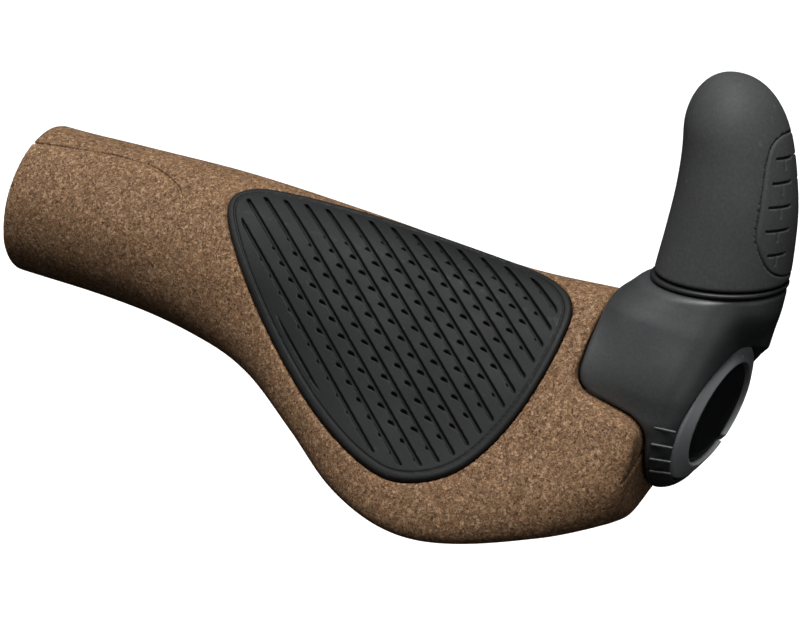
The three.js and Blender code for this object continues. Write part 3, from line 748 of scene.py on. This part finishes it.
class Space:
    """A box of grid points in turned axes: rows of axes are the grid's directions."""

    def __init__(self, low, high, cell, axes=None):
        self.axes = np.eye(3) if axes is None else np.array(axes, float)
        self.cell = np.broadcast_to(np.array(cell, float) * COARSE, 3)
        self.low = np.array(low, float) - 2 * self.cell
        span = np.array(high, float) - self.low + 2 * self.cell
        self.blocks = np.ceil(span / self.cell / BLOCK).astype(int)

    def field(self, field, q):
        """The field at points in the grid's own axes."""
        return field([sum(self.axes[k][i] * q[k] for k in range(3)) for i in range(3)])

    def sampled(self, field):
        """The field on the grid, worked out in full only in the blocks near the surface."""
        side = BLOCK * self.cell
        places = [self.low[k] + (np.arange(n) + 0.5) * side[k] for k, n in enumerate(self.blocks)]
        centres = np.stack(np.meshgrid(*places, indexing="ij"), -1)
        rough = self.field(field, np.moveaxis(centres, -1, 0))
        near = np.abs(rough) < np.linalg.norm(side) * 0.75 + 1.5
        values = np.empty((*self.blocks, BLOCK, BLOCK, BLOCK), np.float32)
        values[:] = rough[..., None, None, None]
        starts = centres[near] - side / 2
        steps = np.stack(np.meshgrid(*[np.arange(BLOCK)] * 3, indexing="ij"), -1) * self.cell
        for first in range(0, len(starts), 256):
            q = starts[first : first + 256, None, None, None, :] + steps
            found = self.field(field, np.moveaxis(q, -1, 0))
            rows = np.argwhere(near)[first : first + 256]
            values[rows[:, 0], rows[:, 1], rows[:, 2]] = found
        count = self.blocks * BLOCK
        return values.transpose(0, 3, 1, 4, 2, 5).reshape(count)

    def netted(self, field):
        """The surface as points and quads: one point in each cell that it passes through."""
        values = self.sampled(field)
        inside = values < 0
        size = np.array(values.shape) - 1
        filled = sum(
            inside[i : size[0] + i, j : size[1] + j, k : size[2] + k].astype(np.uint8)
            for i, j, k in CORNERS
        )
        cells = np.argwhere((filled > 0) & (filled < 8))
        number = np.full(size, -1)
        number[tuple(cells.T)] = np.arange(len(cells))
        corner = np.stack([values[tuple((cells + c).T)] for c in CORNERS], 1)
        total, crossings = np.zeros((len(cells), 3)), np.zeros(len(cells))
        for a, b in EDGES:
            crossed = (corner[:, a] < 0) != (corner[:, b] < 0)
            va, vb = corner[crossed, a], corner[crossed, b]
            t = (va / (va - vb))[:, None]
            total[crossed] += CORNERS[a] + t * (CORNERS[b] - CORNERS[a])
            crossings += crossed
        points = self.low + self.cell * (cells + total / crossings[:, None])
        faces = [self.quads(inside, number, size, axis) for axis in range(3)]
        return self.settled(field, points), np.concatenate(faces)

    @staticmethod
    def quads(inside, number, size, axis):
        """The quads round the grid's edges along one axis."""
        b, c = (axis + 1) % 3, (axis + 2) % 3
        lower = np.take(inside, range(size[axis]), axis)
        upper = np.take(inside, range(1, size[axis] + 1), axis)
        at = np.argwhere(lower != upper)
        at = at[(at[:, b] > 0) & (at[:, c] > 0) & (at[:, b] < size[b]) & (at[:, c] < size[c])]
        out = lower[tuple(at.T)]
        eb, ec = np.eye(3, dtype=int)[b], np.eye(3, dtype=int)[c]
        quad = np.stack([number[tuple((at - s).T)] for s in (0 * eb, eb, eb + ec, ec)], 1)
        return np.where(out[:, None], quad, quad[:, ::-1])

    def settled(self, field, points, rounds=3):
        """Moves points onto the surface by a few steps down the field."""
        tiny = 0.15 * float(self.cell.min())
        most = 0.45 * float(self.cell.min())
        for _ in range(rounds):
            value = self.field(field, points.T)
            slope = np.empty_like(points)
            for k in range(3):
                shift = np.zeros(3)
                shift[k] = tiny
                ahead = self.field(field, (points + shift).T)
                behind = self.field(field, (points - shift).T)
                slope[:, k] = (ahead - behind) / (2 * tiny)
            step = slope * (value / np.maximum((slope**2).sum(1), 0.25))[:, None]
            points = points - np.clip(step, -most, most)
        return points


def mesh_of(name, points, faces):
    mesh = bpy.data.meshes.new(name)
    mesh.vertices.add(len(points))
    mesh.vertices.foreach_set("co", (np.asarray(points) * MM).astype(np.float32).ravel())
    mesh.loops.add(faces.size)
    mesh.loops.foreach_set("vertex_index", faces.astype(np.int32).ravel())
    mesh.polygons.add(len(faces))
    mesh.polygons.foreach_set("loop_start", (np.arange(len(faces)) * 4).astype(np.int32))
    mesh.update(calc_edges=True)
    mesh.validate()
    mesh.shade_smooth()
    piece = bpy.data.objects.new(name, mesh)
    bpy.context.scene.collection.objects.link(piece)
    return piece


def refined(piece, space, field, wanted, cuts):
    """Divides a piece's faces where it has fine lines, and settles the points there on the surface."""
    mesh = piece.data
    work = bmesh.new()
    work.from_mesh(mesh)
    chosen = wanted(points_of(mesh).T)
    edges = [e for e in work.edges if all(chosen[v.index] for v in e.verts)]
    bmesh.ops.subdivide_edges(work, edges=edges, cuts=cuts, use_grid_fill=True)
    work.to_mesh(mesh)
    work.free()
    points = points_of(mesh)
    near = wanted(points.T)
    points[near] = space.settled(field, points[near], rounds=4)
    mesh.vertices.foreach_set("co", (points * MM).astype(np.float32).ravel())
    mesh.update()
    mesh.shade_smooth()


def points_of(mesh):
    """A mesh's points in millimetres."""
    points = np.empty(len(mesh.vertices) * 3, np.float32)
    mesh.vertices.foreach_get("co", points)
    return points.reshape(-1, 3).astype(float) / MM


def build(name, field, body, node, cell, look, axes=None):
    """Makes a piece from its field over its CAD node's box, on a grid that may be turned."""
    low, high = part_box(node)
    low, high = np.array(low) / MM, np.array(high) / MM
    if axes is not None:
        turned = np.where(CORNERS, high, low) @ np.array(axes).T
        low, high = turned.min(0), turned.max(0)
    space = Space(low - 0.6, high + 0.6, cell, axes)
    points, faces = space.netted(field)
    piece = mesh_of(name, points @ space.axes, faces)
    piece.data.materials.append(look)
    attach(piece, body)
    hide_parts(node)
    return piece, space


# ---------------------------------------------------------------- materials


class Look:
    """A material whose nodes are added by short calls."""

    def __init__(self, name):
        self.material = bpy.data.materials.new(name)
        self.material.use_nodes = True
        self.tree = self.material.node_tree
        self.shader = self.tree.nodes["Principled BSDF"]
        self.place = self.add("ShaderNodeTexCoord").outputs["Object"]

    def add(self, kind, **settings):
        node = self.tree.nodes.new(kind)
        for key, value in settings.items():
            setattr(node, key, value)
        return node

    def link(self, a, b):
        self.tree.links.new(a, b)

    def noise(self, scale, detail=3.0, roughness=0.5, place=None):
        node = self.add("ShaderNodeTexNoise")
        node.inputs["Scale"].default_value = scale
        node.inputs["Detail"].default_value = detail
        node.inputs["Roughness"].default_value = roughness
        self.link(place or self.place, node.inputs["Vector"])
        return node.outputs["Fac"]

    def cells(self, scale, output="Color", feature="F1", place=None):
        node = self.add("ShaderNodeTexVoronoi", feature=feature)
        node.inputs["Scale"].default_value = scale
        self.link(place or self.place, node.inputs["Vector"])
        return node.outputs[output]

    def ramp(self, value, stops):
        node = self.add("ShaderNodeValToRGB")
        elements = node.color_ramp.elements
        while len(elements) < len(stops):
            elements.new(0.5)
        for element, (place, colour) in zip(elements, stops):
            element.position = place
            colour = (colour,) * 3 if isinstance(colour, (int, float)) else colour
            element.color = (*colour, 1)
        self.link(value, node.inputs["Fac"])
        return node.outputs["Color"]

    def mix(self, share, a, b, kind="MIX"):
        node = self.add("ShaderNodeMix", data_type="RGBA", blend_type=kind)
        for socket, value in ((node.inputs[0], share), (node.inputs[6], a), (node.inputs[7], b)):
            if isinstance(value, (int, float)):
                socket.default_value = value if socket.type == "VALUE" else (value,) * 3 + (1,)
            elif isinstance(value, tuple):
                socket.default_value = (*value, 1)
            else:
                self.link(value, socket)
        return node.outputs[2]

    def maths(self, operation, a, b=0.0):
        node = self.add("ShaderNodeMath", operation=operation)
        for socket, value in zip(node.inputs, (a, b)):
            if isinstance(value, (int, float)):
                socket.default_value = value
            else:
                self.link(value, socket)
        return node.outputs[0]

    def finish(self, colour, roughness, height=None, depth=0.0001, strength=1.0, **fixed):
        self.link(colour, self.shader.inputs["Base Color"])
        if isinstance(roughness, (int, float)):
            self.shader.inputs["Roughness"].default_value = roughness
        else:
            self.link(roughness, self.shader.inputs["Roughness"])
        for name, value in fixed.items():
            self.shader.inputs[name.replace("_", " ")].default_value = value
        if height is not None:
            bump = self.add("ShaderNodeBump")
            bump.inputs["Strength"].default_value = strength
            bump.inputs["Distance"].default_value = depth
            self.link(height, bump.inputs["Height"])
            self.link(bump.outputs["Normal"], self.shader.inputs["Normal"])
        return self.material


def worn_edges(look, colour, lighter, low=0.52, high=0.62, amount=0.5):
    """Lightens a colour where the surface turns sharply outwards."""
    geometry = look.add("ShaderNodeNewGeometry")
    edge = look.ramp(geometry.outputs["Pointiness"], [(low, 0.0), (high, 1.0)])
    scratch = look.ramp(look.noise(900, 4, 0.6), [(0.42, 0.0), (0.62, 1.0)])
    share = look.maths("MULTIPLY", look.maths("MULTIPLY", edge, scratch), amount)
    return look.mix(share, colour, lighter)


def cork_look():
    """Moulded cork granulate: fine grains of different tans, curled fibres, dark flecks and small pits."""
    look = Look("cork_granulate")
    warp = look.add("ShaderNodeTexNoise")
    warp.inputs["Scale"].default_value = 1100
    look.link(look.place, warp.inputs["Vector"])
    shifted = look.add("ShaderNodeVectorMath", operation="MULTIPLY_ADD")
    shifted.inputs[1].default_value = (0.0006,) * 3
    look.link(warp.outputs["Color"], shifted.inputs[0])
    look.link(look.place, shifted.inputs[2])
    place = shifted.outputs[0]
    grain = look.ramp(
        look.cells(1900, place=place),
        [(0.0, (0.07, 0.035, 0.016)), (0.25, (0.165, 0.093, 0.047)), (0.6, (0.215, 0.128, 0.069)),
         (0.85, (0.33, 0.208, 0.12)), (1.0, (0.44, 0.295, 0.185))],
    )
    fine = look.ramp(look.noise(3300, 2, 0.6), [(0.3, 0.45), (0.5, 1.0), (0.7, 1.5)])
    colour = look.mix(1.0, grain, fine, "MULTIPLY")
    broad = look.ramp(look.noise(70, 3, 0.5), [(0.3, (0.71, 0.67, 0.63)), (0.7, (0.83, 0.79, 0.75))])
    colour = look.mix(1.0, colour, broad, "MULTIPLY")
    curls = look.noise(900, 1, 0.5, place)
    pale = look.ramp(curls, [(0.535, 0.0), (0.55, 1.0), (0.565, 0.0)])
    colour = look.mix(look.maths("MULTIPLY", pale, 0.7), colour, (0.42, 0.29, 0.185))
    dark = look.ramp(curls, [(0.44, 0.0), (0.455, 1.0), (0.47, 0.0)])
    colour = look.mix(look.maths("MULTIPLY", dark, 0.75), colour, (0.05, 0.025, 0.012))
    fleck = look.ramp(look.noise(1900, 1.5, 0.5, place), [(0.62, 0.0), (0.69, 1.0)])
    colour = look.mix(look.maths("MULTIPLY", fleck, 0.85), colour, (0.04, 0.02, 0.011))
    pits = look.maths("SUBTRACT", look.noise(2600, 3, 0.6), look.maths("MULTIPLY", fleck, 0.7))
    rough = look.ramp(look.noise(400, 2), [(0.3, 0.72), (0.7, 0.9)])
    return look.finish(colour, rough, pits, 0.00012, 0.7, Specular_IOR_Level=0.25)


def rubber_look(name, dark, light, roughness, grain_scale, depth, gloss=0.5):
    """Moulded rubber or plastic: faint tone changes, a fine grain, and paler edges."""
    look = Look(name)
    tone = look.ramp(look.noise(60, 4, 0.55), [(0.3, dark), (0.7, light)])
    dust = look.ramp(look.noise(1800, 2, 0.6), [(0.35, 0.9), (0.65, 1.12)])
    colour = look.mix(1.0, tone, dust, "MULTIPLY")
    pale = tuple(min(1.0, 1.9 * c + 0.01) for c in light)
    colour = worn_edges(look, colour, pale)
    patch = look.noise(140, 3, 0.5)
    rough = look.ramp(patch, [(0.3, roughness - 0.05), (0.7, roughness + 0.06)])
    grain = look.noise(grain_scale, 3, 0.6)
    return look.finish(colour, rough, grain, depth, 0.5, Specular_IOR_Level=gloss)


def metal_look(name, dark, light, roughness, metallic, grain_scale=2600):
    """Bead-blasted or oxide-finished metal, worn bright on its edges."""
    look = Look(name)
    colour = look.ramp(look.noise(90, 4, 0.6), [(0.3, dark), (0.7, light)])
    bright = tuple(min(1.0, 2.2 * c + 0.03) for c in light)
    colour = worn_edges(look, colour, bright, amount=0.7)
    rough = look.ramp(look.noise(300, 3, 0.6), [(0.3, roughness - 0.06), (0.7, roughness + 0.08)])
    return look.finish(colour, rough, look.noise(grain_scale, 2, 0.6), 0.00004, 0.4, Metallic=metallic)


# ---------------------------------------------------------------- the pieces

CORK = cork_look()
PAD_RUBBER = rubber_look(
    "pad_rubber", (0.009, 0.0095, 0.0095), (0.012, 0.0125, 0.0125), 0.64, 2600, 0.00003, 0.22,
)
SLEEVE_RUBBER = rubber_look(
    "sleeve_rubber", (0.043, 0.044, 0.044), (0.05, 0.051, 0.051), 0.68, 2400, 0.00002, 0.3,
)
COMPOSITE = rubber_look(
    "composite", (0.036, 0.0375, 0.038), (0.043, 0.0445, 0.045), 0.44, 2200, 0.00002, 0.5,
)
NYLON = rubber_look("nylon", (0.009, 0.0095, 0.0095), (0.013, 0.0135, 0.0135), 0.5, 2000, 0.00002)
ANODISED = metal_look("anodised_aluminium", (0.3, 0.31, 0.32), (0.37, 0.38, 0.39), 0.55, 0.2)
BLACK_STEEL = metal_look("black_oxide_steel", (0.05, 0.05, 0.052), (0.075, 0.075, 0.078), 0.38, 0.9)

cork, cork_space = build("cork_grip", cork_field, "grip", "cork_body", 0.58, CORK)
refined(cork, cork_space, cork_field, fine_line, 3)

GROOVE_WAY = OUTBOARD * math.cos(GROOVE_ANGLE) + WING_WAY * math.sin(GROOVE_ANGLE)
ACROSS_WAY = WING_WAY * math.cos(GROOVE_ANGLE) - OUTBOARD * math.sin(GROOVE_ANGLE)
build(
    "palm_pad_ribbed", pad_field, "grip", "palm_pad", (0.3, 0.17, 0.3), PAD_RUBBER,
    axes=[GROOVE_WAY, ACROSS_WAY, np.cross(GROOVE_WAY, ACROSS_WAY)],
)
build("core_tube", core_field, "grip", "grip_core", 0.7, NYLON)
build("elbow_housing", housing_field, "bar_end", "bar_end_housing", 0.36, COMPOSITE)
build("split_ring", clamp_field, "bar_end", "clamp_ring", 0.3, ANODISED)
build("socket_bolt", bolt_field, "bolt", "clamp_bolt", 0.14, BLACK_STEEL)
build("bolt_washer", washer_field, "washer", "clamp_washer", 0.14, BLACK_STEEL)
build("captive_nut", nut_field, "bar_end", "clamp_nut", 0.16, BLACK_STEEL)
build("ring_plug", plug_field, "plug", "end_plug", 0.25, NYLON)
build("sleeve_seat", seat_field, "bar_end", "seat_ring", 0.24, NYLON)
build("sleeve", sleeve_field, "bar_end", "horn_sleeve", 0.36, SLEEVE_RUBBER)
build("thumb_tread", tread_field, "bar_end", "horn_tread", 0.2, SLEEVE_RUBBER)


def timing_marks():
    """The collar's four ribs, moulded with the housing."""
    space = Space((147, -19, -5), (152, -13, 8), 0.14)
    points, faces = space.netted(marks_field)
    piece = mesh_of("timing_marks", points, faces)
    piece.data.materials.append(COMPOSITE)
    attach(piece, "bar_end")


timing_marks()

# ---------------------------------------------------------------- stage, light and camera


def floor(drop):
    """A pale floor well below the object, which throws no light back on it."""
    middle = (Vector(cad_box[0]) + Vector(cad_box[1])) / 2
    bpy.ops.mesh.primitive_plane_add(size=8, location=(middle.x, middle.y, cad_box[0][2] - drop))
    plane = bpy.context.object
    plane.name = "floor"
    plane.visible_diffuse = False
    plane.visible_glossy = False
    look = Look("pale_floor")
    colour = look.ramp(look.noise(2, 2), [(0.3, 0.93), (0.7, 0.95)])
    plane.data.materials.append(look.finish(colour, 0.9, Specular_IOR_Level=0.1))


def softbox(name, way, distance, size, radiance):
    """A square light that faces the object from a direction, as bright as its radiance."""
    data = bpy.data.lights.new(name, "AREA")
    data.shape = "SQUARE"
    data.size = size
    data.energy = radiance * math.pi * size**2
    light = bpy.data.objects.new(name, data)
    way = Vector(way).normalized()
    light.location = (Vector(cad_box[0]) + Vector(cad_box[1])) / 2 + way * distance
    light.rotation_euler = way.to_track_quat("Z", "Y").to_euler()
    bpy.context.scene.collection.objects.link(light)


def world(strength):
    """A white surround that the camera sees, and that lights nothing."""
    scene = bpy.context.scene
    scene.world = bpy.data.worlds.new("studio")
    scene.world.use_nodes = True
    scene.world.cycles_visibility.diffuse = False
    scene.world.cycles_visibility.glossy = False
    sky = scene.world.node_tree.nodes["Background"]
    sky.inputs["Color"].default_value = (1, 1, 1, 1)
    sky.inputs["Strength"].default_value = strength


CAMERA = {"azimuth": 26.4175, "elevation": 40, "distance": 0.6, "focal": 126.84}
TARGET = Vector((0.074871, 0.020227, -0.018110))


def camera():
    turn, lift = math.radians(CAMERA["azimuth"]), math.radians(CAMERA["elevation"])
    back = Vector((math.sin(turn) * math.cos(lift), -math.cos(turn) * math.cos(lift), math.sin(lift)))
    data = bpy.data.cameras.new("camera")
    data.lens = CAMERA["focal"]
    data.sensor_width = 36
    data.clip_start = 0.01
    eye = bpy.data.objects.new("camera", data)
    eye.location = TARGET + back * CAMERA["distance"]
    eye.rotation_euler = back.to_track_quat("Z", "Y").to_euler()
    bpy.context.scene.collection.objects.link(eye)
    bpy.context.scene.camera = eye


floor(0.3)
camera()
world(1)
softbox("overhead", (0, 0, 1), 4.0, 2.6, 11.5)
softbox("overhead_left", (-0.5, -0.15, 0.85), 3.0, 1.9, 1.1)
softbox("behind", (-0.25, 0.55, 0.8), 3.0, 1.9, 1.4)
softbox("camera_side", (0.3, -0.6, 0.74), 3.0, 1.9, 0.6)
softbox("left", (-0.9, -0.42, 0.25), 3.0, 1.9, 0.55)
softbox("right", (0.9, -0.35, 0.1), 3.0, 1.9, 0.8)
bpy.context.scene.view_settings.view_transform = "Standard"
